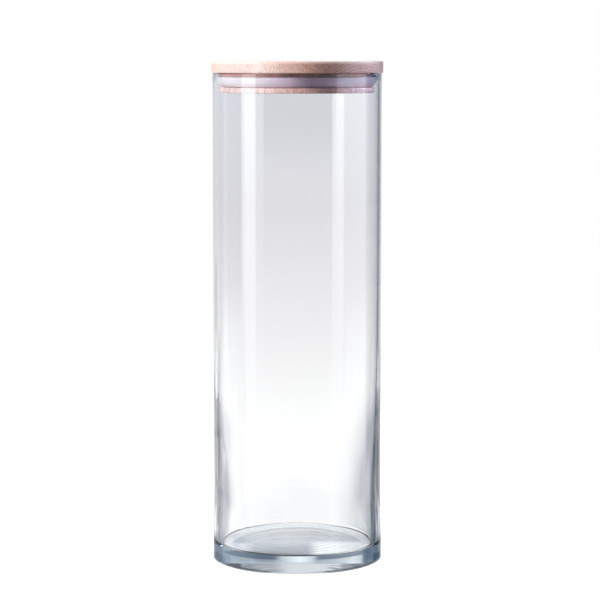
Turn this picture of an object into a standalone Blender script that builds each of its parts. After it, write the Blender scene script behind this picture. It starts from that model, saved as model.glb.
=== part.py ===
"""Storage canister with wooden lid: a tall straight jar of clear glass with a heavy base,
a turned hardwood lid whose plug drops into the mouth, and a silicone ring that sits in a
groove round the plug and bears on the glass with a flared lip.

Metres, +Z up. The origin is the centre of the foot, on the surface the jar stands on.
"""

import bpy
from itertools import pairwise
from math import cos, exp, log, pi, radians, sin
from mathutils import Vector

# Jar: outside
jar_height = 0.290
jar_radius = 0.050
heel_flare = 0.0006  # the heel stands this much proud of the straight wall
flare_top_height = 0.034
flare_bottom_height = 0.020
heel_radius = 0.0016
foot_ring_width = 0.0040
kick_height = 0.0005  # the shallow rise under the base, inside the foot ring

# Jar: inside
rim_wall = 0.00195
throat_depth = 0.014  # the stretch of even wall that the lid's plug goes into
floor_height = 0.0098
floor_crown = 0.0003  # the floor is this much higher at its middle
floor_fillet = 0.0016
wall_gain = 0.0034  # what the wall gains from the throat down to the even stretch above the floor
gain_power = 7
even_height = 0.050  # below about this height the wall stays even
gain_softness = 0.05  # how gently the gain stops there, as a share of the stretch above

# Lid
lid_thickness = 0.0070
lid_overhang = 0.00075
lid_top_arris = 0.0011
lid_lower_arris = 0.0006
neck_depth = 0.0019  # from the rim down to the groove
flange_thickness = 0.0030
flange_arris = 0.0006
plug_clearance = 0.00235  # between the wooden plug and the glass, all round
groove_depth = 0.0032

# Seal
seal_height = 0.0058
band_thickness = 0.0013
lip_root_thickness = 0.0012
lip_tip_thickness = 0.0008
lip_tip_drop = 0.0004  # the tip ends this much below the top of the band
lip_bulge = 0.0006  # how far the lip bows outward from a straight line

# Gap kept between neighbouring pieces that touch on the real canister
seat_gap = 0.0003

# Facets: round the axis, and along each arc or curve of a profile
turn_steps = 64
arc_steps = 4
curve_steps = 8

# Places along the floor and the rise under the base, as shares of the way out from the axis
floor_shares = (0.35, 0.7)
kick_shares = (0.75, 0.5, 0.25)

quarter_turn = 0.5 * pi
sharp_angle = radians(40)
weld_distance = 0.00001

mouth_radius = jar_radius - rim_wall
plug_radius = mouth_radius - plug_clearance
groove_radius = plug_radius - groove_depth
groove_height = seal_height + 2 * seat_gap


def arc(centre_x, centre_z, radius, start_angle, end_angle, steps=arc_steps):
    """Points of a round stretch of a profile, both ends included."""
    angles = [start_angle + (end_angle - start_angle) * i / steps for i in range(steps + 1)]
    return [(centre_x + radius * cos(angle), centre_z + radius * sin(angle)) for angle in angles]


def ease(share):
    """Runs from 0 to 1 with level ends."""
    return share * share * (3 - 2 * share)


def wall_thickness(height):
    """The glass is even in the throat, gains thickness downwards and is even again above the floor."""
    throat_bottom = jar_height - throat_depth
    share = (throat_bottom - height) / (throat_bottom - even_height)
    share = -gain_softness * log(exp(-share / gain_softness) + exp(-1 / gain_softness))
    return rim_wall + wall_gain * max(0, share) ** gain_power


def outer_radius(height):
    """The outside is straight, and the heel stands a little proud."""
    share = (flare_top_height - height) / (flare_top_height - flare_bottom_height)
    return jar_radius + heel_flare * ease(min(1, max(0, share)))


def jar_profile():
    """From the middle of the floor, up the inside, over the rim, down the outside and under the base."""
    fillet_top = floor_height + floor_fillet
    inner_foot_radius = outer_radius(fillet_top) - wall_thickness(fillet_top)
    floor_edge = inner_foot_radius - floor_fillet
    points = [(0, floor_height + floor_crown)]
    points += [(floor_edge * share, floor_height + floor_crown * (1 - share**2)) for share in floor_shares]
    points += arc(floor_edge, fillet_top, floor_fillet, -quarter_turn, 0)

    throat_bottom = jar_height - throat_depth
    for i in range(1, curve_steps + 1):
        height = fillet_top + (throat_bottom - fillet_top) * (i / curve_steps) ** 2
        points.append((outer_radius(height) - wall_thickness(height), height))

    rim_radius = 0.5 * rim_wall
    points += arc(jar_radius - rim_radius, jar_height - rim_radius, rim_radius, pi, 0, 2 * arc_steps)

    flare_height = flare_top_height - flare_bottom_height
    for i in range(curve_steps // 2 + 1):
        height = flare_top_height - flare_height * 2 * i / curve_steps
        points.append((outer_radius(height), height))

    heel_edge = jar_radius + heel_flare - heel_radius
    points += arc(heel_edge, heel_radius, heel_radius, 0, -quarter_turn)
    kick_edge = heel_edge - foot_ring_width
    points.append((kick_edge, 0))
    points += [(kick_edge * share, kick_height * ease(1 - share)) for share in kick_shares]
    points.append((0, kick_height))
    return points


def lid_profile():
    """Heights are counted from the jar's rim. The disc, its neck, the groove and the lower flange."""
    disc_radius = jar_radius + lid_overhang
    disc_bottom = seat_gap
    disc_top = disc_bottom + lid_thickness
    groove_top = -neck_depth
    groove_bottom = groove_top - groove_height
    plug_bottom = groove_bottom - flange_thickness
    points = [(0, disc_top)]
    points += arc(disc_radius - lid_top_arris, disc_top - lid_top_arris, lid_top_arris, quarter_turn, 0)
    points += arc(
        disc_radius - lid_lower_arris, disc_bottom + lid_lower_arris, lid_lower_arris, 0, -quarter_turn
    )
    points += [
        (plug_radius, disc_bottom),
        (plug_radius, groove_top),
        (groove_radius, groove_top),
        (groove_radius, groove_bottom),
        (plug_radius, groove_bottom),
    ]
    points += arc(plug_radius - flange_arris, plug_bottom + flange_arris, flange_arris, 0, -quarter_turn)
    points.append((0, plug_bottom))
    return points


def lip_sides():
    """The lip's inner and outer side from the band to the tip, and the rounded tip, inside to outside."""
    root = Vector((groove_radius + seat_gap + band_thickness, 0.5 * lip_root_thickness))
    tip = Vector((mouth_radius - seat_gap - 0.5 * lip_tip_thickness, seal_height - lip_tip_drop))
    along = (tip - root).normalized()
    outward = Vector((along.y, -along.x))
    inner_side = []
    outer_side = []
    for i in range(curve_steps + 1):
        share = i / curve_steps
        middle = root.lerp(tip, share) + outward * lip_bulge * sin(pi * share)
        half_thickness = 0.5 * (lip_root_thickness + (lip_tip_thickness - lip_root_thickness) * share)
        inner_side.append(middle - outward * half_thickness)
        outer_side.append(middle + outward * half_thickness)
    tip_round = [
        tip + (along * sin(angle) - outward * cos(angle)) * 0.5 * lip_tip_thickness
        for angle in (pi * i / arc_steps for i in range(1, arc_steps))
    ]
    return inner_side, outer_side, tip_round


def height_at(line, x):
    """The height of a rising line of points where it passes this x."""
    for low, high in pairwise(line):
        if low.x <= x < high.x:
            return low.lerp(high, (x - low.x) / (high.x - low.x)).y


def seal_profile():
    """Heights are counted from the foot of the ring. A band in the groove, and one lip that flares upward."""
    band_inside = groove_radius + seat_gap
    band_outside = band_inside + band_thickness
    inner_side, outer_side, tip_round = lip_sides()
    points = [(band_inside, seal_height), (band_outside, seal_height)]
    points.append((band_outside, height_at(inner_side, band_outside)))
    points += [tuple(point) for point in inner_side if point.x > band_outside]
    points += [tuple(point) for point in tip_round]
    points += [tuple(point) for point in reversed(outer_side[1:])]
    points += [(band_outside, 0), (band_inside, 0)]
    return points


def plain_material(name, colour, roughness, transmission=0.0, ior=1.5):
    material = bpy.data.materials.new(name)
    material.use_nodes = True
    material.diffuse_color = (*colour, 1)
    surface = material.node_tree.nodes["Principled BSDF"]
    surface.inputs["Base Color"].default_value = (*colour, 1)
    surface.inputs["Roughness"].default_value = roughness
    surface.inputs["Metallic"].default_value = 0.0
    surface.inputs["Transmission Weight"].default_value = transmission
    surface.inputs["IOR"].default_value = ior
    return material


def turned(name, profile, material, closed_profile=False):
    """A solid of revolution about Z. The profile runs down its outer side."""
    mesh = bpy.data.meshes.new(name)
    edges = [(i, i + 1) for i in range(len(profile) - 1)]
    if closed_profile:
        edges.append((len(profile) - 1, 0))
    mesh.from_pydata([(x, 0, z) for x, z in profile], edges, [])
    piece = bpy.data.objects.new(name, mesh)
    canister.objects.link(piece)
    screw = piece.modifiers.new("turn", "SCREW")
    screw.axis = "Z"
    screw.angle = 2 * pi
    screw.steps = turn_steps
    screw.render_steps = turn_steps
    screw.use_merge_vertices = True
    screw.merge_threshold = weld_distance

    solid = bpy.data.meshes.new_from_object(piece.evaluated_get(bpy.context.evaluated_depsgraph_get()))
    solid.name = name
    piece.modifiers.clear()
    piece.data = solid
    bpy.data.meshes.remove(mesh)
    solid.materials.append(material)
    solid.shade_smooth()
    solid.set_sharp_from_angle(angle=sharp_angle)
    return piece


for leftover in list(bpy.data.objects):
    bpy.data.objects.remove(leftover)

canister = bpy.data.collections.new("storage_canister")
bpy.context.scene.collection.children.link(canister)

glass = plain_material("clear glass", (0.93, 0.96, 0.97), 0.02, transmission=1.0, ior=1.52)
wood = plain_material("oiled hardwood", (0.62, 0.40, 0.33), 0.50)
silicone = plain_material("translucent silicone", (0.78, 0.73, 0.80), 0.35, transmission=0.4, ior=1.41)

turned("glass_jar", jar_profile(), glass)

# The lid and its ring lift off together, so both hang from a carrier at the rim.
lid_carrier = bpy.data.objects.new("lid_carrier", None)
lid_carrier.location.z = jar_height
canister.objects.link(lid_carrier)

wooden_lid = turned("wooden_lid", lid_profile(), wood)
wooden_lid.parent = lid_carrier

lid_seal = turned("lid_seal", seal_profile(), silicone, closed_profile=True)
lid_seal.parent = lid_carrier
lid_seal.location.z = -neck_depth - seat_gap - seal_height
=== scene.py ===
from math import cos, exp, log, pi, radians, sin

import bpy
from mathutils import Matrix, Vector


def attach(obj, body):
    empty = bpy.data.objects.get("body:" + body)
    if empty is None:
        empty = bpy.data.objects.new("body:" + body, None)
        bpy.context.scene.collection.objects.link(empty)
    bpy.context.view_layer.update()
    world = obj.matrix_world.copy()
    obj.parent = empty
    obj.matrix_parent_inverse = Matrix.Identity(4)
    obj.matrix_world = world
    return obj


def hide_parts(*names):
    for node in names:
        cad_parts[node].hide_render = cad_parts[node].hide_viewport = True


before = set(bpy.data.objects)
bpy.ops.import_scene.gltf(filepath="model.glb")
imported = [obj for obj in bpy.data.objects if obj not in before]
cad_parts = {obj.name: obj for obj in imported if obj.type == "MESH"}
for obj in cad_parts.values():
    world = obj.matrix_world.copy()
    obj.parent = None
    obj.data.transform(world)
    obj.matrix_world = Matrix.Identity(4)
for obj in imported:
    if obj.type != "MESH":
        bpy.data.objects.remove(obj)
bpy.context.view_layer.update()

# Glass jar.
# A tall straight tube of clear glass with a heavy floor, pressed and fire-polished in one piece.
# The wall gains thickness downwards, the heel stands a little proud, and the rim is melted round.
jar_height = 0.290
jar_radius = 0.050
heel_flare = 0.0006
flare_top_height = 0.042
flare_bottom_height = 0.010
heel_radius = 0.0016
foot_ring_width = 0.0040
kick_height = 0.0005
rim_wall = 0.00195
rim_inner_arris = 0.0005
rim_outer_arris = 0.00025
throat_depth = 0.014
floor_height = 0.0098
floor_crown = 0.0003
floor_fillet = 0.0016
wall_gain = 0.0034
gain_power = 7
even_height = 0.050
gain_softness = 0.05
floor_ripple = 0.00003
ripple_length = 0.0052
ripple_fade_share = 0.25  # the outer share of the floor over which the rings fade out

# How finely the outline is drawn, and the turn about the axis.
jar_steps = 288
floor_steps = 44
fillet_steps = 10
wall_steps = 72
wall_crowding = 1.5  # brings the wall's points closer together towards the floor
rim_steps = 12
outside_steps = 25
flare_steps = 20
heel_steps = 18
kick_steps = 60
weld_distance = 0.000008
sharp_angle = radians(40)

# How far pressed glass wanders from its true form, and the share that each stretch takes.
jar_wander = 0.0003
wander_size = 45.0
wander_seed = 3.0
floor_give = 0.5
fillet_give = 0.3
kick_give = 0.3


def arc(centre_x, centre_z, radius, start, end, steps):
    """Points of a round stretch of an outline, both ends included."""
    turns = [start + (end - start) * i / steps for i in range(steps + 1)]
    return [(centre_x + radius * cos(turn), centre_z + radius * sin(turn)) for turn in turns]


def ease(share):
    """Runs from 0 to 1 with level ends."""
    return share * share * (3 - 2 * share)


def wall_thickness(height):
    """Even in the throat, thicker downwards and even again above the floor."""
    throat = jar_height - throat_depth
    share = (throat - height) / (throat - even_height)
    share = -gain_softness * log(exp(-share / gain_softness) + exp(-1 / gain_softness))
    return rim_wall + wall_gain * max(0, share) ** gain_power


def outer_radius(height):
    """Straight, with the heel standing a little proud."""
    share = (flare_top_height - height) / (flare_top_height - flare_bottom_height)
    return jar_radius + heel_flare * ease(min(1, max(0, share)))


def floor_line(radius, edge):
    """The floor's height: a shallow crown with the rings that the pressing left in it."""
    share = radius / edge
    fade = ease(min(1, (1 - share) / ripple_fade_share))
    ripple = floor_ripple * sin(2 * pi * radius / ripple_length) * share * fade
    return floor_height + floor_crown * (1 - share**2) + ripple


def with_give(points, give=0.0):
    """Adds to each point the share of the wander that it takes."""
    return [(x, z, give) for x, z in points]


def jar_outline():
    """From the middle of the floor, up the inside, over the rim, down the outside and under the base."""
    fillet_top = floor_height + floor_fillet
    floor_edge = outer_radius(fillet_top) - wall_thickness(fillet_top) - floor_fillet
    floor_radii = [floor_edge * i / floor_steps for i in range(floor_steps)]
    line = with_give([(radius, floor_line(radius, floor_edge)) for radius in floor_radii], floor_give)
    line += with_give(arc(floor_edge, fillet_top, floor_fillet, -pi / 2, 0, fillet_steps), fillet_give)

    throat = jar_height - throat_depth
    for i in range(1, wall_steps + 1):
        share = i / wall_steps
        height = fillet_top + (throat - fillet_top) * share**wall_crowding
        line.append((outer_radius(height) - wall_thickness(height), height, (1 - share) ** 2))

    inner_edge = jar_radius - rim_wall + rim_inner_arris
    inner_top = jar_height - rim_inner_arris
    outer_edge = jar_radius - rim_outer_arris
    outer_top = jar_height - rim_outer_arris
    line += with_give(arc(inner_edge, inner_top, rim_inner_arris, pi, pi / 2, rim_steps))
    line += with_give(arc(outer_edge, outer_top, rim_outer_arris, pi / 2, 0, rim_steps))

    for i in range(1, outside_steps):
        height = flare_top_height + (outer_top - flare_top_height) * (1 - i / outside_steps)
        line.append((jar_radius, height, 0.0))
    for i in range(flare_steps + 1):
        height = flare_top_height + (flare_bottom_height - flare_top_height) * i / flare_steps
        line.append((outer_radius(height), height, 0.0))

    heel_edge = jar_radius + heel_flare - heel_radius
    line += with_give(arc(heel_edge, heel_radius, heel_radius, 0, -pi / 2, heel_steps))
    kick_edge = heel_edge - foot_ring_width
    for i in range(kick_steps + 1):
        rise = ease(i / kick_steps)
        line.append((kick_edge * (1 - i / kick_steps), kick_height * rise, kick_give * rise))
    return line


def feed(tree, made, inputs):
    """Sets a node's inputs, by name or number, to plain values or links them to outputs."""
    for name, value in inputs.items():
        if isinstance(value, bpy.types.NodeSocket):
            tree.links.new(value, made.inputs[name])
        else:
            made.inputs[name].default_value = value


def node(tree, kind, inputs=None, **settings):
    made = tree.nodes.new(kind)
    for name, value in settings.items():
        setattr(made, name, value)
    feed(tree, made, inputs or {})
    return made


def maths(tree, operation, *values):
    return node(tree, "ShaderNodeMath", dict(enumerate(values)), operation=operation).outputs[0]


def turning_tree():
    """Turns an outline of points (radius, 0, height) about Z, lets it wander a little and closes it."""
    tree = bpy.data.node_groups.new("turned on its axis", "GeometryNodeTree")
    for name, kind in (
        ("Outline", "Geometry"), ("Steps", "Int"), ("Wander", "Float"), ("Wander Size", "Float"),
        ("Seed", "Float"), ("Sharp Angle", "Float"), ("Finish", "Material"),
    ):
        tree.interface.new_socket(name, in_out="INPUT", socket_type="NodeSocket" + kind)
    tree.interface.new_socket("Piece", in_out="OUTPUT", socket_type="NodeSocketGeometry")
    given = node(tree, "NodeGroupInput").outputs

    # a grid with one row for each point of the outline, and one column more than the steps
    size = node(tree, "GeometryNodeAttributeDomainSize", {0: given["Outline"]}, component="MESH")
    columns = maths(tree, "ADD", given["Steps"], 1.0)
    grid = node(
        tree, "GeometryNodeMeshGrid", {"Vertices X": size.outputs["Point Count"], "Vertices Y": columns}
    )
    index = node(tree, "GeometryNodeInputIndex").outputs[0]
    row = maths(tree, "FLOOR", maths(tree, "DIVIDE", maths(tree, "ADD", index, 0.5), columns))
    column = maths(tree, "SUBTRACT", index, maths(tree, "MULTIPLY", row, columns))
    around = maths(tree, "MODULO", column, given["Steps"])
    turn = maths(tree, "MULTIPLY", maths(tree, "DIVIDE", around, given["Steps"]), 2 * pi)

    # each row's point, turned to its column
    place = node(tree, "GeometryNodeInputPosition").outputs[0]
    point = node(
        tree, "GeometryNodeSampleIndex", {"Geometry": given["Outline"], "Value": place, "Index": row},
        data_type="FLOAT_VECTOR",
    )
    freedom = node(tree, "GeometryNodeInputNamedAttribute", {"Name": "freedom"}, data_type="FLOAT")
    loose = node(
        tree, "GeometryNodeSampleIndex",
        {"Geometry": given["Outline"], "Value": freedom.outputs["Attribute"], "Index": row},
        data_type="FLOAT",
    )
    turned = node(
        tree, "ShaderNodeVectorRotate",
        {"Vector": point.outputs["Value"], "Axis": (0, 0, 1), "Angle": turn}, rotation_type="AXIS_ANGLE",
    ).outputs[0]

    # the wander
    noise = node(
        tree, "ShaderNodeTexNoise",
        {"Vector": turned, "W": given["Seed"], "Scale": given["Wander Size"], "Detail": 1.0},
        noise_dimensions="4D",
    )
    centred = node(
        tree, "ShaderNodeVectorMath", {0: noise.outputs["Color"], 1: (0.5, 0.5, 0.5)}, operation="SUBTRACT"
    ).outputs[0]
    reach = maths(tree, "MULTIPLY", loose.outputs["Value"], given["Wander"])
    shift = node(tree, "ShaderNodeVectorMath", {0: centred, "Scale": reach}, operation="SCALE").outputs[0]
    final = node(tree, "ShaderNodeVectorMath", {0: turned, 1: shift}, operation="ADD").outputs[0]
    shaped = node(tree, "GeometryNodeSetPosition", {"Geometry": grid.outputs["Mesh"], "Position": final})

    # the seam and the poles closed, sharp corners kept, and the finish put on
    closed = node(
        tree, "GeometryNodeMergeByDistance", {"Geometry": shaped.outputs[0], "Distance": weld_distance}
    )
    bend = node(tree, "GeometryNodeInputMeshEdgeAngle").outputs["Unsigned Angle"]
    corner = node(tree, "FunctionNodeCompare", {0: bend, 1: given["Sharp Angle"]}, operation="GREATER_THAN")
    smooth = node(tree, "GeometryNodeSetShadeSmooth", {"Geometry": closed.outputs[0], "Shade Smooth": True})
    creased = node(
        tree, "GeometryNodeSetShadeSmooth",
        {"Geometry": smooth.outputs[0], "Selection": corner.outputs[0], "Shade Smooth": False}, domain="EDGE",
    )
    real = node(tree, "GeometryNodeRealizeInstances", {0: creased.outputs[0]})
    dressed = node(
        tree, "GeometryNodeSetMaterial", {"Geometry": real.outputs[0], "Material": given["Finish"]}
    )
    node(tree, "NodeGroupOutput", {0: dressed.outputs[0]})
    return tree


turning = turning_tree()


def add_object(name, data):
    made = bpy.data.objects.new(name, data)
    bpy.context.scene.collection.objects.link(made)
    return made


def turn_piece(name, outline, finish, steps, wander=0.0, size=1.0, seed=0.0):
    """A turned piece as a plain mesh whose faces point outwards."""
    line = bpy.data.meshes.new(name + "_outline")
    line.from_pydata([(x, 0, z) for x, z, _ in outline], [(i, i + 1) for i in range(len(outline) - 1)], [])
    freedom = line.attributes.new("freedom", "FLOAT", "POINT")
    freedom.data.foreach_set("value", [give for _, _, give in outline])
    piece = add_object(name, line)
    modifier = piece.modifiers.new("turning", "NODES")
    modifier.node_group = turning
    given = {
        "Steps": steps, "Wander": wander, "Wander Size": size, "Seed": seed,
        "Sharp Angle": sharp_angle, "Finish": finish,
    }
    for item in turning.interface.items_tree:
        if item.in_out == "INPUT" and item.name in given:
            modifier[item.identifier] = given[item.name]
    made = bpy.data.meshes.new_from_object(piece.evaluated_get(bpy.context.evaluated_depsgraph_get()))
    piece.modifiers.clear()
    piece.data = made
    made.name = name
    bpy.data.meshes.remove(line)
    volume = 0.0
    for face in made.polygons:
        a, *rest = (made.vertices[i].co for i in face.vertices)
        volume += sum(a.dot(b.cross(c)) for b, c in zip(rest, rest[1:]))
    if volume < 0:
        made.flip_normals()
    return piece


def new_finish(name):
    finish = bpy.data.materials.new(name)
    finish.use_nodes = True
    tree = finish.node_tree
    return finish, tree, tree.nodes["Principled BSDF"], tree.nodes["Material Output"]


def own_place(tree):
    return node(tree, "ShaderNodeTexCoord").outputs["Object"]


def mapped(tree, scale, turn=(0, 0, 0)):
    """Object coordinates, turned and stretched."""
    return node(
        tree, "ShaderNodeMapping", {"Vector": own_place(tree), "Rotation": turn, "Scale": scale}
    ).outputs[0]


def parts(tree, vector):
    return node(tree, "ShaderNodeSeparateXYZ", {0: vector}).outputs


def stretched(tree, vector, scale):
    return node(tree, "ShaderNodeVectorMath", {0: vector, 1: scale}, operation="MULTIPLY").outputs[0]


def length(tree, vector):
    return node(tree, "ShaderNodeVectorMath", {0: vector}, operation="LENGTH").outputs["Value"]


def from_axis(tree, vector):
    return length(tree, stretched(tree, vector, (1, 1, 0)))


def surface_noise(tree, vector, detail):
    return node(tree, "ShaderNodeTexNoise", {"Vector": vector, "Scale": 1.0, "Detail": detail}).outputs["Fac"]


def ramp(tree, factor, stops):
    """A colour ramp. A stop is its place and a grey or a colour."""
    made = node(tree, "ShaderNodeValToRGB", {0: factor})
    points = made.color_ramp.elements
    while len(points) < len(stops):
        points.new(0.5)
    for point, (place, colour) in zip(points, stops):
        point.position = place
        point.color = (*colour, 1) if isinstance(colour, tuple) else (colour, colour, colour, 1)
    return made.outputs["Color"]


def blend_colour(tree, factor, first, second, how="MIX"):
    made = node(tree, "ShaderNodeMix", data_type="RGBA", blend_type=how)
    for name, value in zip(("Factor_Float", "A_Color", "B_Color"), (factor, first, second)):
        socket = next(s for s in made.inputs if s.identifier == name)
        if isinstance(value, bpy.types.NodeSocket):
            tree.links.new(value, socket)
        else:
            socket.default_value = (*value, 1) if isinstance(value, tuple) else value
    return next(s for s in made.outputs if s.identifier == "Result_Color")


patch_edges = ("First", "Last", "Side Softness", "Low", "High", "Height Softness")


def patch_tree():
    """Says how far a place lies inside a soft-edged rectangle."""
    tree = bpy.data.node_groups.new("soft-edged patch", "ShaderNodeTree")
    for name in ("Across", "Up", *patch_edges):
        tree.interface.new_socket(name, in_out="INPUT", socket_type="NodeSocketFloat")
    tree.interface.new_socket("Share", in_out="OUTPUT", socket_type="NodeSocketFloat")
    given = node(tree, "NodeGroupInput").outputs
    share = 1.0
    for place, first, last, soft in (("Across", *patch_edges[:3]), ("Up", *patch_edges[3:])):
        before = maths(tree, "SUBTRACT", given[first], given[soft])
        beyond = maths(tree, "ADD", given[last], given[soft])
        for start, end in ((before, given[first]), (beyond, given[last])):
            step = node(
                tree, "ShaderNodeMapRange", {"Value": given[place], "From Min": start, "From Max": end},
                interpolation_type="SMOOTHSTEP",
            )
            share = maths(tree, "MULTIPLY", share, step.outputs[0])
    node(tree, "NodeGroupOutput", {"Share": share})
    return tree


soft_patch = patch_tree()


def patch(tree, across, up, sides, heights):
    """The sides and the heights are each a pair of edges and their softness."""
    edges = dict(zip(patch_edges, (*sides, *heights)))
    made = node(tree, "ShaderNodeGroup", {"Across": across, "Up": up, **edges}, node_tree=soft_patch)
    return made.outputs["Share"]


# The glass is nearly colourless on its face, and bluer at grazing angles and in its depth. A blue painted
# glint lies at the ends of the rim, and a dark line of painted shade runs along the heel's edge at both
# sides.
face_tint = (0.992, 0.994, 0.996)
grazing_tint = (0.95, 0.965, 0.985)
grazing_power = 5.0
rim_glint_tint = (0.82, 0.92, 1.0)
rim_glint_sides = (0.0465, 0.06, 0.0025)
rim_glint_heights = (jar_height - 0.0035, jar_height + 0.001, 0.001)
heel_shade_tint = (0.16, 0.19, 0.25)
heel_radii = (0.0494, 0.06, 0.0006)
heel_heights = (-0.001, 0.0012, 0.0007)
heel_fade = {"From Min": 0.014, "From Max": 0.034, "To Max": 0.85}
shadow_tint = (0.93, 0.95, 0.97, 1)
depth_tint = (0.16, 0.29, 0.37, 1)
depth_density = 5.0
draw_marks = (60, 60, 3.5)


def clear_glass():
    """Refracts every ray that is seen, and lets lamplight by with a plain tint."""
    finish, tree, surface, output = new_finish("clear glass")
    facing = node(tree, "ShaderNodeLayerWeight", {"Blend": 0.5}).outputs["Facing"]
    tint = blend_colour(tree, maths(tree, "POWER", facing, grazing_power), face_tint, grazing_tint)
    place = own_place(tree)
    part = parts(tree, place)
    aside = maths(tree, "ABSOLUTE", part["X"])
    # painted blue glint at the rim's ends
    tint = blend_colour(tree, patch(tree, aside, part["Z"], rim_glint_sides, rim_glint_heights), tint, rim_glint_tint)
    # painted shade: a dark line along the heel's edge, strongest at the sides
    heel = patch(tree, from_axis(tree, place), part["Z"], heel_radii, heel_heights)
    at_sides = node(tree, "ShaderNodeMapRange", {"Value": aside, **heel_fade}).outputs[0]
    tint = blend_colour(tree, maths(tree, "MULTIPLY", heel, at_sides), tint, heel_shade_tint)
    drawn = surface_noise(tree, mapped(tree, draw_marks), detail=1.0)
    wave = node(tree, "ShaderNodeBump", {"Strength": 0.02, "Distance": 0.0005, "Height": drawn})
    feed(tree, surface, {
        "Base Color": tint, "Roughness": 0.0, "Metallic": 0.0, "Transmission Weight": 1.0, "IOR": 1.52,
        "Normal": wave.outputs[0],
    })
    path = node(tree, "ShaderNodeLightPath").outputs
    lamplight = maths(tree, "MAXIMUM", path["Is Shadow Ray"], path["Is Diffuse Ray"])
    let_by = node(tree, "ShaderNodeBsdfTransparent", {"Color": shadow_tint})
    either = node(tree, "ShaderNodeMixShader", {0: lamplight, 1: surface.outputs[0], 2: let_by.outputs[0]})
    thick = node(tree, "ShaderNodeVolumeAbsorption", {"Color": depth_tint, "Density": depth_density})
    feed(tree, output, {"Surface": either.outputs[0], "Volume": thick.outputs[0]})
    return finish


glass = clear_glass()
glass_jar = turn_piece(
    "glass_jar_fine", jar_outline(), glass, jar_steps, jar_wander, wander_size, wander_seed
)
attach(glass_jar, "jar")
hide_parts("glass_jar")

# Lid seal.
# A moulded ring of milky silicone: a flat band that lies in the lid's groove, and one lip that
# flares up and out to bear on the glass. It is stretched over the plug and needs no glue.
neck_depth = 0.0019
plug_clearance = 0.00235
groove_depth = 0.0032
seal_height = 0.0058
band_thickness = 0.0013
lip_root_thickness = 0.0012
lip_tip_thickness = 0.0008
lip_tip_drop = 0.0004
lip_bulge = 0.0006
seat_gap = 0.0003
mouth_radius = jar_radius - rim_wall
plug_radius = mouth_radius - plug_clearance
groove_radius = plug_radius - groove_depth
seal_foot = jar_height - neck_depth - seat_gap - seal_height
seal_steps = 256
lip_steps = 24
tip_steps = 10


def seal_outline():
    """The band's inside, its top, the lip's inner side, its tip, its outer side and the foot."""
    band_inside = groove_radius + seat_gap
    band_outside = band_inside + band_thickness
    root = Vector((band_outside, lip_root_thickness / 2))
    tip = Vector((mouth_radius - seat_gap - lip_tip_thickness / 2, seal_height - lip_tip_drop))
    along = (tip - root).normalized()
    outward = Vector((along.y, -along.x))
    inner, outer = [], []
    for i in range(lip_steps + 1):
        share = i / lip_steps
        middle = root.lerp(tip, share) + outward * lip_bulge * sin(pi * share)
        half = (lip_root_thickness + (lip_tip_thickness - lip_root_thickness) * share) / 2
        inner.append(middle - outward * half)
        outer.append(middle + outward * half)
    tip_round = [
        tip + (along * sin(turn) - outward * cos(turn)) * lip_tip_thickness / 2
        for turn in (pi * i / tip_steps for i in range(1, tip_steps))
    ]
    inner = [point for point in inner if point.x > band_outside]
    line = [(band_inside, 0), (band_inside, seal_height)]
    line += [(band_outside, seal_height), (band_outside, inner[0].y)]
    line += [tuple(point) for point in inner + tip_round + outer[::-1]]
    line += [(band_outside, 0), (band_inside, 0)]
    return with_give([(x, z + seal_foot) for x, z in line])


def across_jar(tree, place):
    """0 at the jar's one side and 1 at the other."""
    return maths(tree, "MULTIPLY_ADD", place, 0.5 / jar_radius, 0.5)


# The milk's colour with painted light from left to right: lit at the left, painted shade in the middle and a
# painted highlight at the right.
milk_tones_and_light = [
    (0.06, (0.80, 0.73, 0.74)), (0.29, (0.94, 0.81, 0.85)), (0.37, (0.95, 0.76, 0.87)),
    (0.46, (0.77, 0.55, 0.68)), (0.51, (0.53, 0.36, 0.48)), (0.58, (0.34, 0.21, 0.33)),
    (0.66, (0.46, 0.31, 0.41)), (0.71, (0.64, 0.45, 0.61)), (0.75, (1.0, 0.68, 0.95)),
    (0.80, (1.0, 0.76, 0.98)), (0.86, (1.0, 0.72, 0.92)), (0.91, (0.72, 0.53, 0.62)),
    (0.96, (0.44, 0.37, 0.46)),
]
milk_clouds = [(0.3, (0.92, 0.90, 0.92)), (0.7, (1.0, 1.0, 1.0))]
milk_cloud_scale = (90, 90, 90)
grit_scale = (900, 900, 900)


def milky_silicone():
    finish, tree, surface, _ = new_finish("milky silicone")
    # the milk's colour with painted light and shade across it
    milk_and_light = ramp(tree, across_jar(tree, parts(tree, own_place(tree))["X"]), milk_tones_and_light)
    cloud = ramp(tree, surface_noise(tree, mapped(tree, milk_cloud_scale), detail=3.0), milk_clouds)
    grit = surface_noise(tree, mapped(tree, grit_scale), detail=2.0)
    bump = node(tree, "ShaderNodeBump", {"Strength": 0.15, "Distance": 0.0001, "Height": grit})
    feed(tree, surface, {
        "Base Color": blend_colour(tree, 1.0, milk_and_light, cloud, "MULTIPLY"),
        "Roughness": 0.35, "IOR": 1.41, "Specular IOR Level": 0.3,
        "Subsurface Weight": 0.6, "Subsurface Radius": (1.0, 0.9, 1.0), "Subsurface Scale": 0.002,
        "Normal": bump.outputs[0],
    })
    return finish


silicone = milky_silicone()
lid_seal = turn_piece("lid_seal_fine", seal_outline(), silicone, seal_steps)
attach(lid_seal, "seal")
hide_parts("lid_seal")

# Wooden lid.
# One turned disc of oiled beech with a stepped plug below: neck, groove for the ring and flange.
# The board is sawn flat, so the front shows end grain and the sides show long fibres.
lid_thickness = 0.0070
lid_overhang = 0.00075
lid_top_arris = 0.0011
lid_lower_arris = 0.0006
flange_thickness = 0.0030
flange_arris = 0.0006
groove_height = seal_height + 2 * seat_gap
lid_steps = 256
top_steps = 24
top_arris_steps = 10
arris_steps = 6
groove_arris_steps = 4
plug_steps = 12

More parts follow.
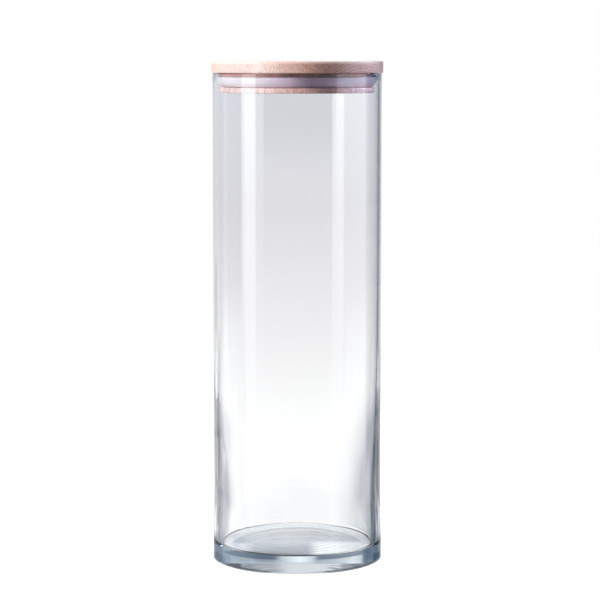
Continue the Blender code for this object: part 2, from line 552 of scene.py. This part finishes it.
# The board's grain: how it lies, where the pith is, and how rings, rays, fibres and flecks run.
grain_turn = radians(-9)
ring_spacing = 0.0017
pith_x = 0.032
pith_z = 0.2695
ring_profile = [(0.0, 1.0), (0.10, 0.25), (0.55, 0.0), (0.86, 0.45), (0.97, 1.0)]
ring_wander = 2.2
cloud_stretch = (45, 9, 45)
season_least = 0.4
season_spread = 0.9
ray_profile = [(0.54, 0.0), (0.66, 1.0)]
ray_stretch = (1500, 150, 420)
ray_arc_radius = 0.045
fibre_stretch = (1500, 45, 1500)
fleck_stretch = (1500, 60, 240)


def lid_outline():
    """From the middle of the top, down the disc, the neck, the groove and the flange, and back in."""
    disc_radius = jar_radius + lid_overhang
    disc_bottom = jar_height + seat_gap
    disc_top = disc_bottom + lid_thickness
    groove_top = jar_height - neck_depth
    groove_bottom = groove_top - groove_height
    plug_bottom = groove_bottom - flange_thickness
    top_edge = disc_radius - lid_top_arris
    lower_edge = disc_radius - lid_lower_arris
    plug_edge = plug_radius - flange_arris
    line = [(top_edge * i / top_steps, disc_top) for i in range(top_steps)]
    line += arc(top_edge, disc_top - lid_top_arris, lid_top_arris, pi / 2, 0, top_arris_steps)
    line += arc(lower_edge, disc_bottom + lid_lower_arris, lid_lower_arris, 0, -pi / 2, arris_steps)
    line += [(plug_radius, disc_bottom), (plug_radius, groove_top), (groove_radius, groove_top)]
    line += [(groove_radius, groove_bottom)]
    soft = flange_arris / 2
    line += arc(plug_radius - soft, groove_bottom - soft, soft, pi / 2, 0, groove_arris_steps)
    line += arc(plug_edge, plug_bottom + flange_arris, flange_arris, 0, -pi / 2, arris_steps)
    line += [(plug_edge * (1 - i / plug_steps), plug_bottom) for i in range(1, plug_steps + 1)]
    return with_give(line)


def wood_figure():
    """Growth rings, rays and fibres in the solid, the trunk lying along Y."""
    tree = bpy.data.node_groups.new("wood figure", "ShaderNodeTree")
    tree.interface.new_socket("Vector", in_out="INPUT", socket_type="NodeSocketVector")
    for name in ("Ring Spacing", "Pith X", "Pith Z"):
        tree.interface.new_socket(name, in_out="INPUT", socket_type="NodeSocketFloat")
    for name in ("Rings", "Rays", "Fibres", "Cloud"):
        tree.interface.new_socket(name, in_out="OUTPUT", socket_type="NodeSocketFloat")
    given = node(tree, "NodeGroupInput").outputs
    place = given["Vector"]
    part = parts(tree, place)
    x = maths(tree, "SUBTRACT", part["X"], given["Pith X"])
    z = maths(tree, "SUBTRACT", part["Z"], given["Pith Z"])
    squares = maths(tree, "ADD", maths(tree, "MULTIPLY", x, x), maths(tree, "MULTIPLY", z, z))
    radius = maths(tree, "SQRT", squares)

    # rings that wander with a slow cloud, each season of its own strength
    cloud = surface_noise(tree, stretched(tree, place, cloud_stretch), detail=3.0)
    seasons = maths(tree, "DIVIDE", radius, given["Ring Spacing"])
    seasons = maths(tree, "ADD", seasons, maths(tree, "MULTIPLY", cloud, ring_wander))
    rings = ramp(tree, maths(tree, "FRACT", seasons), ring_profile)
    season = maths(tree, "FLOOR", seasons)
    chance = node(tree, "ShaderNodeTexWhiteNoise", {"W": season}, noise_dimensions="1D").outputs["Value"]
    strength = maths(tree, "MULTIPLY_ADD", chance, season_spread, season_least)
    rings = maths(tree, "MULTIPLY", rings, strength)

    # short dashes of ray along the radius
    arc_length = maths(tree, "MULTIPLY", maths(tree, "ARCTAN2", z, x), ray_arc_radius)
    ray_place = node(tree, "ShaderNodeCombineXYZ", {0: arc_length, 1: radius, 2: part["Y"]}).outputs[0]
    ray_noise = surface_noise(tree, stretched(tree, ray_place, ray_stretch), detail=1.0)
    rays = ramp(tree, ray_noise, ray_profile)

    fibres = surface_noise(tree, stretched(tree, place, fibre_stretch), detail=3.0)
    node(tree, "NodeGroupOutput", {"Rings": rings, "Rays": rays, "Fibres": fibres, "Cloud": cloud})
    return tree


# The wood's tones with painted light from left to right, lit at the left and in painted shade right of the
# middle, and how strongly its marks show there.
wood_tones_and_light = [
    (0.0, (0.74, 0.55, 0.48)), (0.15, (0.76, 0.59, 0.54)), (0.27, (0.88, 0.73, 0.69)),
    (0.37, (0.92, 0.68, 0.61)), (0.46, (0.90, 0.60, 0.52)), (0.53, (0.92, 0.60, 0.52)),
    (0.60, (0.78, 0.46, 0.40)), (0.66, (0.60, 0.35, 0.31)), (0.73, (0.68, 0.42, 0.39)),
    (0.82, (0.86, 0.55, 0.52)), (0.97, (0.80, 0.52, 0.50)), (1.0, (0.56, 0.34, 0.33)),
]
ring_tint = (0.54, 0.40, 0.34)
ring_shares = [(0.2, 0.15), (0.45, 0.45), (0.62, 0.9), (0.8, 0.6)]
ray_tint = (0.62, 0.46, 0.41)
ray_strength = 0.5
mark_shares = [(0.15, 0.25), (0.32, 0.6), (0.50, 1.0)]
streak_tones = [(0.30, 0.84), (0.62, 1.06)]
fleck_tones = [(0.36, 0.66), (0.60, 1.08)]
fleck_shares = [(0.12, 0.05), (0.24, 0.3), (0.45, 0.55), (0.6, 0.25), (0.9, 0.15)]
plug_fleck_share = 0.75

# Painted shade on the neck, which lies in the shade of the disc, from left to right.
neck_radii = (0.0, plug_radius + 0.0006, 0.0004)
neck_heights = (jar_height - neck_depth + 0.0002, jar_height + 0.0001, 0.0002)
neck_shade_tones = [
    (0.10, (0.95, 0.56, 0.52)), (0.30, (0.85, 0.52, 0.50)), (0.40, (0.60, 0.38, 0.38)),
    (0.46, (0.34, 0.19, 0.18)), (0.57, (0.24, 0.11, 0.10)), (0.68, (0.36, 0.22, 0.22)),
    (0.74, (0.95, 0.62, 0.70)), (0.88, (0.95, 0.66, 0.74)), (0.93, (0.34, 0.24, 0.26)),
]

# Everything below the disc gets painted light: rosier at the left where the lamp falls, and a lilac painted
# highlight at the right.
plug_radii = (0.0, plug_radius + 0.002, 0.0004)
plug_heights = (0.0, jar_height + 0.0001, 0.0001)
lilac_highlight_tint = (1.25, 1.10, 1.32)
lilac_highlight_shares = [(0.70, 0.0), (0.73, 1.0), (0.9, 1.0), (0.95, 0.3)]
rosy_light_tint = (1.22, 1.13, 1.15)
rosy_light_shares = [(0.1, 1.0), (0.5, 0.8), (0.65, 0.0)]

# Painted light on the disc's upper arris, which catches the light from above.
arris_radii = (jar_radius - 0.0004, 0.06, 0.0005)
arris_heights = (jar_height + lid_thickness - 0.0011, 0.3, 0.0006)
arris_light_tint = (1.0, 0.76, 0.70)
arris_light_shares = [(0.0, 0.5), (0.4, 0.5), (0.48, 0.75), (0.6, 0.75), (0.8, 0.6), (0.94, 0.3), (0.98, 0.0)]

# A slow cloud over all, and what the fibres and rays do to the surface.
cloud_tones = [(0.3, (0.92, 0.90, 0.88)), (0.7, (1.05, 1.05, 1.05))]
fibre_relief = 0.6
ray_relief = -0.5
least_roughness = 0.36
fibre_roughness = 0.16


def oiled_beech():
    finish, tree, surface, _ = new_finish("oiled beech")
    here = mapped(tree, (1, 1, 1), (0, 0, grain_turn))
    figure = node(
        tree, "ShaderNodeGroup",
        {"Vector": here, "Ring Spacing": ring_spacing, "Pith X": pith_x, "Pith Z": pith_z},
        node_tree=wood_figure(),
    )
    rings, rays, fibres, cloud = figure.outputs
    part = parts(tree, own_place(tree))
    away = from_axis(tree, here)
    across = across_jar(tree, part["X"])

    def tinted(share, tint):
        return blend_colour(tree, share, colour, tint, "MULTIPLY")

    # rings, streaks and rays
    # the base tone carries painted light and shade from left to right
    colour = ramp(tree, across, wood_tones_and_light)
    colour = tinted(maths(tree, "MULTIPLY", rings, ramp(tree, across, ring_shares)), ring_tint)
    marked = ramp(tree, across, mark_shares)
    colour = blend_colour(tree, marked, colour, tinted(1.0, ramp(tree, fibres, streak_tones)))
    ray_share = maths(tree, "MULTIPLY", maths(tree, "MULTIPLY", rays, ray_strength), marked)
    colour = tinted(ray_share, ray_tint)

    # painted shade on the neck, and flecks that show most on the plug
    neck = patch(tree, away, part["Z"], neck_radii, neck_heights)
    colour = tinted(neck, ramp(tree, across, neck_shade_tones))
    plug = patch(tree, away, part["Z"], plug_radii, plug_heights)
    fleck = ramp(tree, surface_noise(tree, mapped(tree, fleck_stretch), detail=2.0), fleck_tones)
    plug_flecks = maths(tree, "MULTIPLY", plug, plug_fleck_share)
    colour = tinted(maths(tree, "MAXIMUM", ramp(tree, across, fleck_shares), plug_flecks), fleck)

    # painted light on the plug, painted light on the arris and a slow cloud over all
    colour = tinted(maths(tree, "MULTIPLY", plug, ramp(tree, across, lilac_highlight_shares)), lilac_highlight_tint)
    colour = tinted(maths(tree, "MULTIPLY", plug, ramp(tree, across, rosy_light_shares)), rosy_light_tint)
    arris = patch(tree, away, part["Z"], arris_radii, arris_heights)
    lit_arris = maths(tree, "MULTIPLY", arris, ramp(tree, across, arris_light_shares))
    colour = blend_colour(tree, lit_arris, colour, arris_light_tint)
    colour = tinted(1.0, ramp(tree, cloud, cloud_tones))

    proud = maths(tree, "MULTIPLY", fibres, fibre_relief)
    relief = maths(tree, "ADD", proud, maths(tree, "MULTIPLY", rays, ray_relief))
    bump = node(tree, "ShaderNodeBump", {"Strength": 0.25, "Distance": 0.00012, "Height": relief})
    roughness = maths(tree, "ADD", least_roughness, maths(tree, "MULTIPLY", fibres, fibre_roughness))
    feed(tree, surface, {
        "Base Color": colour, "Roughness": roughness, "IOR": 1.5, "Specular IOR Level": 0.25,
        "Normal": bump.outputs[0],
    })
    return finish


beech = oiled_beech()
wooden_lid = turn_piece("wooden_lid_fine", lid_outline(), beech, lid_steps)
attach(wooden_lid, "lid")
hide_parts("wooden_lid")

# Floor.
# A round sheet of matt white card under the canister, which fades into the white room behind it.
# The camera sees it with the canister's faint shadow on it, and the glass shows the room instead.
card_rings = (0.06, 0.15, 0.4, 1.2)
card_points = 96
card_grey = (0.42, 0.42, 0.43)
card_glow = 0.80
fade_distances = {"From Min": 0.30, "From Max": 1.1}
# painted contact shadow where the heel meets the card at the sides
contact_shadow_tint = (0.06, 0.07, 0.10)
contact_glow_loss = -0.72
contact_sides = (0.024, 0.06, 0.016)
contact_radii = (0.0, 0.0503, 0.0005)


def circle(radius, height):
    turns = [2 * pi * i / card_points for i in range(card_points)]
    return [(radius * cos(turn), radius * sin(turn), height) for turn in turns]


def disc(name, radii, height):
    """A flat disc of rings of points round its middle."""
    corners = [(0, 0, height)]
    for radius in radii:
        corners += circle(radius, height)
    faces = []
    for i in range(card_points):
        after = (i + 1) % card_points
        faces.append((0, 1 + i, 1 + after))
        for level in range(len(radii) - 1):
            low = 1 + level * card_points
            faces.append((low + i, low + card_points + i, low + card_points + after, low + after))
    sheet = bpy.data.meshes.new(name)
    sheet.from_pydata(corners, [], faces)
    return add_object(name, sheet)


def hide_from(thing, *rays):
    """Keeps an object out of sight of these kinds of ray."""
    for ray in rays:
        setattr(thing, "visible_" + ray, False)


def white_card():
    """Matt card with a glow for the camera, and a painted contact shadow where the heel meets it at the
    sides.
    """
    finish, tree, surface, output = new_finish("white card")
    here = own_place(tree)
    away = length(tree, here)
    aside = maths(tree, "ABSOLUTE", parts(tree, here)["X"])
    contact_shadow = patch(tree, aside, away, contact_sides, contact_radii)
    feed(tree, surface, {
        "Base Color": blend_colour(tree, contact_shadow, card_grey, contact_shadow_tint),
        "Roughness": 1.0, "Specular IOR Level": 0.0,
    })
    camera_ray = node(tree, "ShaderNodeLightPath").outputs["Is Camera Ray"]
    bright = maths(tree, "MULTIPLY_ADD", contact_shadow, contact_glow_loss, card_glow)
    glow = node(tree, "ShaderNodeEmission", {"Strength": maths(tree, "MULTIPLY", camera_ray, bright)})
    lit = node(tree, "ShaderNodeAddShader", {0: surface.outputs[0], 1: glow.outputs[0]})
    fade = node(
        tree, "ShaderNodeMapRange", {"Value": away, **fade_distances}, interpolation_type="SMOOTHSTEP"
    )
    clear = node(tree, "ShaderNodeBsdfTransparent")
    both = node(tree, "ShaderNodeMixShader", {0: fade.outputs[0], 1: lit.outputs[0], 2: clear.outputs[0]})
    feed(tree, output, {"Surface": both.outputs[0]})
    return finish


floor = disc("floor", card_rings, 0)
hide_from(floor, "glossy", "transmission")
floor.data.materials.append(white_card())

# Resting place.
# A sheet right under the foot with the table's shade and light painted on it, as the thick base shows it:
# painted shade at the front, paler at the back, and glowing painted light at both sides and round the back
# edge. Only rays through the glass meet it.
rest_radius = 0.0506
rest_depth = 0.0002
rest_shade_tones = [
    (0.15, (0.02, 0.03, 0.05)), (0.28, (0.03, 0.05, 0.10)), (0.37, (0.10, 0.13, 0.20)),
    (0.48, (0.24, 0.25, 0.31)), (0.60, (0.28, 0.28, 0.33)), (0.80, (0.33, 0.325, 0.365)),
]
rest_light_white = (1.05, 1.07, 1.08)
rest_right = ((0.014, 0.06, 0.009), (-0.030, -0.003, 0.012))
rest_left = ((-0.06, -0.033, 0.009), (-0.024, -0.004, 0.007))
rest_left_light_white = (1.0, 1.01, 1.05)
rest_left_strength = 0.8
rest_edge = ((0.041, 0.06, 0.003), (-0.012, 0.06, 0.008))


def shaded_card():
    finish, tree, surface, output = new_finish("shaded card")
    tree.nodes.remove(surface)
    here = own_place(tree)
    part = parts(tree, here)
    tone = ramp(tree, across_jar(tree, part["Y"]), rest_shade_tones)
    tone = blend_colour(tree, patch(tree, part["X"], part["Y"], *rest_right), tone, rest_light_white)
    left = maths(tree, "MULTIPLY", patch(tree, part["X"], part["Y"], *rest_left), rest_left_strength)
    tone = blend_colour(tree, left, tone, rest_left_light_white)
    edge = patch(tree, length(tree, here), part["Y"], *rest_edge)
    tone = blend_colour(tree, edge, tone, rest_light_white)
    glow = node(tree, "ShaderNodeEmission", {"Color": tone})
    feed(tree, output, {"Surface": glow.outputs[0]})
    return finish


resting_place = disc("resting_place", (rest_radius,), -rest_depth)
hide_from(resting_place, "camera", "diffuse", "glossy", "shadow")
resting_place.data.materials.append(shaded_card())

# Room.
# A white room, as the glass shows it: a pale grey backdrop that whitens towards the table, cards and
# flags in front of it, a row of cards higher up, and a dim ceiling with a skylight. Bearings count
# from straight behind the canister, rightwards, and rises from level, both in degrees.
rise_span = 40
bearing_span = 360
backdrop_tones = [
    (-20, (1.06, 1.06, 1.065)), (-13, (1.07, 1.065, 1.07)), (-11, (1.02, 1.02, 1.02)),
    (-8.7, (0.94, 0.935, 0.94)), (-6.3, (0.855, 0.845, 0.865)), (-3.7, (0.755, 0.75, 0.78)),
    (-1, (0.765, 0.77, 0.82)), (4, (0.78, 0.79, 0.83)),
]

# Each row says how strongly the card or flag covers the room, its colour, and its two edges and
# their softness, first in bearing and then in rise.
flag_grey = (0.13, 0.17, 0.23)
cards_and_flags = [
    (1.0, (1.55, 1.56, 1.60), (-100, -58, 7), (-11.5, -8, 2.5)),
    (0.85, flag_grey, (-43, -36, 5), (-11, -9, 1.5)),
    (0.28, flag_grey, (-31, -24, 4), (-7.6, -5.8, 0.8)),
    (0.6, (0.16, 0.155, 0.22), (-48, -25, 4), (-46, -15.2, 0.8)),
    (0.5, flag_grey, (-37, -33, 4), (-46, -13.2, 2)),
    (0.66, (0.16, 0.17, 0.24), (-52, -18, 6), (-15.5, -12.2, 0.8)),
    (1.0, (1.38, 1.44, 1.50), (-26, -19, 3), (-12.0, -10.3, 0.4)),
    (0.85, flag_grey, (-74, -50, 5), (-17, -14.5, 1.5)),
    (0.65, flag_grey, (25, 36, 11), (-8.5, 5, 2)),
    (0.6, flag_grey, (12, 20, 9.5), (-17, -14, 3.5)),
    (0.65, flag_grey, (26, 50, 6), (-46, -13.4, 0.8)),
    (0.6, flag_grey, (24, 50, 9), (-13.6, -12.0, 1.0)),
    (0.9, (0.06, 0.08, 0.12), (34, 49, 4), (-46, -11.5, 1.5)),
    (0.8, flag_grey, (56, 76, 5), (-13, 4, 2)),
]
high_card_tones = [
    (-60, (0.12, 0.18, 0.28)), (-42, (0.12, 0.19, 0.30)), (-38, (0.85, 0.88, 0.94)),
    (-31, (1.10, 1.12, 1.17)), (-23, (0.90, 0.95, 1.00)), (-16, (0.70, 0.76, 0.84)),
    (-9, (0.56, 0.62, 0.70)), (-6, (1.00, 1.08, 1.14)), (-1, (1.38, 1.44, 1.48)),
    (7, (0.78, 0.84, 0.90)), (11, (0.40, 0.47, 0.55)), (17, (0.30, 0.36, 0.45)),
    (24, (0.50, 0.57, 0.67)), (37, (0.52, 0.61, 0.70)), (48, (0.42, 0.51, 0.63)), (60, (0.15, 0.22, 0.33)),
]
ceiling_tone = (0.035, 0.05, 0.08)
overhead_tone = (0.84, 0.86, 0.89)
skylight = (0.95, (0.78, 0.82, 0.87), (-22, 22, 6), (16, 90, 3))
room_grey = (0.20, 0.20, 0.21)  # what lights the wood and the card from all around

# Flags at both sides alike: the dark lines that the thick base shows, and the dim room behind the
# camera.
band_top = (0.72, (0.03, 0.09, 0.17), (11, 75, 4), (9.5, 12.3, 0.5))
heel_line = (0.95, (0.02, 0.03, 0.05), (15, 62, 5), (1.6, 10.0, 1.0))
behind_camera = (0.9, (0.10, 0.10, 0.11), (116, 200, 8), (-1.2, 20, 2.2))

studio = bpy.data.worlds.new("studio")
bpy.context.scene.world = studio
studio.use_nodes = True
room = studio.node_tree
toward = parts(room, node(room, "ShaderNodeTexCoord").outputs["Generated"])
bearing = maths(room, "MULTIPLY", maths(room, "ARCTAN2", toward["X"], toward["Y"]), 180 / pi)
rise = maths(room, "MULTIPLY", maths(room, "ARCSINE", toward["Z"]), 180 / pi)
rise_share = maths(room, "MULTIPLY_ADD", rise, 1 / rise_span, 0.5)
bearing_share = maths(room, "MULTIPLY_ADD", bearing, 1 / bearing_span, 0.5)


def angle_ramp(factor, span, stops):
    """A ramp whose stops are placed in degrees, with 0 degrees at its middle."""
    return ramp(room, factor, [(0.5 + degrees / span, colour) for degrees, colour in stops])


def above(surround, low, high, colour):
    """Changes the room's colour from the low rise upwards, fully from the high one."""
    edges = {"From Min": 0.5 + low / rise_span, "From Max": 0.5 + high / rise_span}
    share = node(room, "ShaderNodeMapRange", {"Value": rise_share, **edges}).outputs[0]
    return blend_colour(room, share, surround, colour)


def card(surround, place, strength, colour, sides, heights):
    """Stands a soft-edged card or flag in the room."""
    share = maths(room, "MULTIPLY", patch(room, place, rise, sides, heights), strength)
    return blend_colour(room, share, surround, colour)


surround = angle_ramp(rise_share, rise_span, backdrop_tones)
for strength, colour, sides, heights in cards_and_flags:
    surround = card(surround, bearing, strength, colour, sides, heights)
surround = above(surround, 5, 8, angle_ramp(bearing_share, bearing_span, high_card_tones))
surround = above(surround, 14.5, 18, ceiling_tone)
surround = card(surround, bearing, *skylight)
surround = above(surround, 26, 33, overhead_tone)
either_side = maths(room, "ABSOLUTE", bearing)
for flag in (band_top, heel_line, behind_camera):
    surround = card(surround, either_side, *flag)

path = node(room, "ShaderNodeLightPath").outputs
through_glass = maths(room, "MAXIMUM", path["Is Glossy Ray"], path["Is Transmission Ray"])
plain = blend_colour(room, path["Is Camera Ray"], room_grey, (1, 1, 1))
seen = blend_colour(room, through_glass, plain, surround)
feed(room, room.nodes["Background"], {"Color": seen, "Strength": 1.0})

# Strip lights.
# Two tall soft lights that stand at the sides, brighter upwards, and show as bright strips in the
# glass. The left one lights the wood too.
strip_bottom = -0.15
strip_top = 0.50
strip_span = 0.8
strip_zero_share = 0.25
strip_full_glow = 4.0


def strip_light(name, first, last, glow, tone, unseen_by):
    """Stands between two places on the table. Its glow is given for heights from below to above."""
    sheet = bpy.data.meshes.new(name)
    sheet.from_pydata(
        [(*first, strip_bottom), (*last, strip_bottom), (*last, strip_top), (*first, strip_top)],
        [], [(0, 1, 2, 3)],
    )
    light = add_object(name, sheet)
    finish, tree, surface, output = new_finish(name)
    tree.nodes.remove(surface)
    height = parts(tree, own_place(tree))["Z"]
    level = ramp(
        tree, maths(tree, "MULTIPLY_ADD", height, 1 / strip_span, strip_zero_share),
        [(strip_zero_share + z / strip_span, g / strip_full_glow) for z, g in glow],
    )
    strength = maths(tree, "MULTIPLY", level, strip_full_glow)
    shine = node(tree, "ShaderNodeEmission", {"Color": (*tone, 1), "Strength": strength})
    feed(tree, output, {"Surface": shine.outputs[0]})
    sheet.materials.append(finish)
    hide_from(light, *unseen_by)


strip_light(
    "left_strip", (-0.334, -0.230), (-0.335, -0.079),
    [(-0.10, 1.2), (0.04, 1.3), (0.115, 1.8), (0.19, 2.45), (0.27, 3.0)],
    (1, 1, 1), ("camera", "shadow"),
)
strip_light(
    "right_strip", (0.366, -0.282), (0.258, 0.044),
    [(-0.10, 1.0), (0.04, 1.0), (0.115, 1.0), (0.19, 1.3), (0.27, 1.7)],
    (0.97, 0.985, 1.0), ("camera", "shadow", "diffuse"),
)

# Dark flag.
# A curved strip of dark cloth close to the right of the glass, which draws its edge. It is wide
# above the jar's foot and narrow below, and only the glass shows it.
flag_reach = 0.07
flag_heights = (-0.04, 0.32)
flag_panels = 16
flag_first_bearing = 33
flag_panel_angle = 3
flag_turns = [radians(flag_first_bearing + flag_panel_angle * i) for i in range(flag_panels + 1)]
cloth_colour = (0.09, 0.115, 0.15, 1)
cloth_above = ((37, 74, 4), (0.045, 0.4, 0.02))
cloth_below = ((37, 44, 4), (-0.1, 0.4, 0.02))


def dark_cloth():
    finish, tree, surface, output = new_finish("dark cloth")
    tree.nodes.remove(surface)
    part = parts(tree, own_place(tree))
    turn = maths(tree, "MULTIPLY", maths(tree, "ARCTAN2", part["X"], part["Y"]), 180 / pi)
    wide = patch(tree, turn, part["Z"], *cloth_above)
    narrow = patch(tree, turn, part["Z"], *cloth_below)
    shown = maths(tree, "MAXIMUM", wide, narrow)
    dark = node(tree, "ShaderNodeEmission", {"Color": cloth_colour})
    clear = node(tree, "ShaderNodeBsdfTransparent")
    both = node(tree, "ShaderNodeMixShader", {0: shown, 1: clear.outputs[0], 2: dark.outputs[0]})
    feed(tree, output, {"Surface": both.outputs[0]})
    return finish


cloth = bpy.data.meshes.new("right_flag")
cloth.from_pydata(
    [(flag_reach * sin(turn), flag_reach * cos(turn), z) for z in flag_heights for turn in flag_turns],
    [], [(i, i + 1, i + 2 + flag_panels, i + 1 + flag_panels) for i in range(flag_panels)],
)
right_flag = add_object("right_flag", cloth)
right_flag.location.x = jar_radius
hide_from(right_flag, "camera", "diffuse", "shadow")
cloth.materials.append(dark_cloth())

# Lamps.
# Three soft lamps above the table, aimed at the lid: a plain one at the left, a blue one at the
# right and behind, and a wide one overhead.


def soft_lamp(name, turn_degrees, rise_degrees, distance, size, power, colour=(1, 1, 1)):
    """An area lamp. Its turn counts from the camera's side, rightwards."""
    data = bpy.data.lights.new(name, "AREA")
    data.shape = "RECTANGLE"
    data.size, data.size_y = size
    data.energy = power
    data.color = colour
    lamp = add_object(name, data)
    turn, lift = radians(turn_degrees), radians(rise_degrees)
    away = Vector((sin(turn) * cos(lift), -cos(turn) * cos(lift), sin(lift)))
    lamp.location = Vector((0, 0, jar_height)) + away * distance
    lamp.rotation_euler = away.to_track_quat("Z", "Y").to_euler()
    hide_from(lamp, "camera")


soft_lamp("left_lamp", -65, 22, 1.6, (0.5, 0.8), 24)
soft_lamp("right_lamp", 112, 26, 1.6, (0.5, 0.8), 31, (0.64, 0.80, 1.0))
soft_lamp("top_lamp", 0, 80, 1.8, (1.0, 1.0), 10)

# Camera.
# A long lens level with the lid's top, tilted down to take in the whole canister.
camera_distance = 1.28
camera_height = jar_height + seat_gap + lid_thickness
camera_tilt = radians(6.33)

camera_data = bpy.data.cameras.new("camera")
camera_data.sensor_width = 36
camera_data.lens = 129.3
camera_data.shift_x = 0.0046
camera_data.clip_start = 0.01
camera = add_object("camera", camera_data)
camera.location = (0, -camera_distance, camera_height)
camera.rotation_euler = (pi / 2 - camera_tilt, 0, 0)
bpy.context.scene.camera = camera
bpy.context.scene.view_settings.view_transform = "Standard"
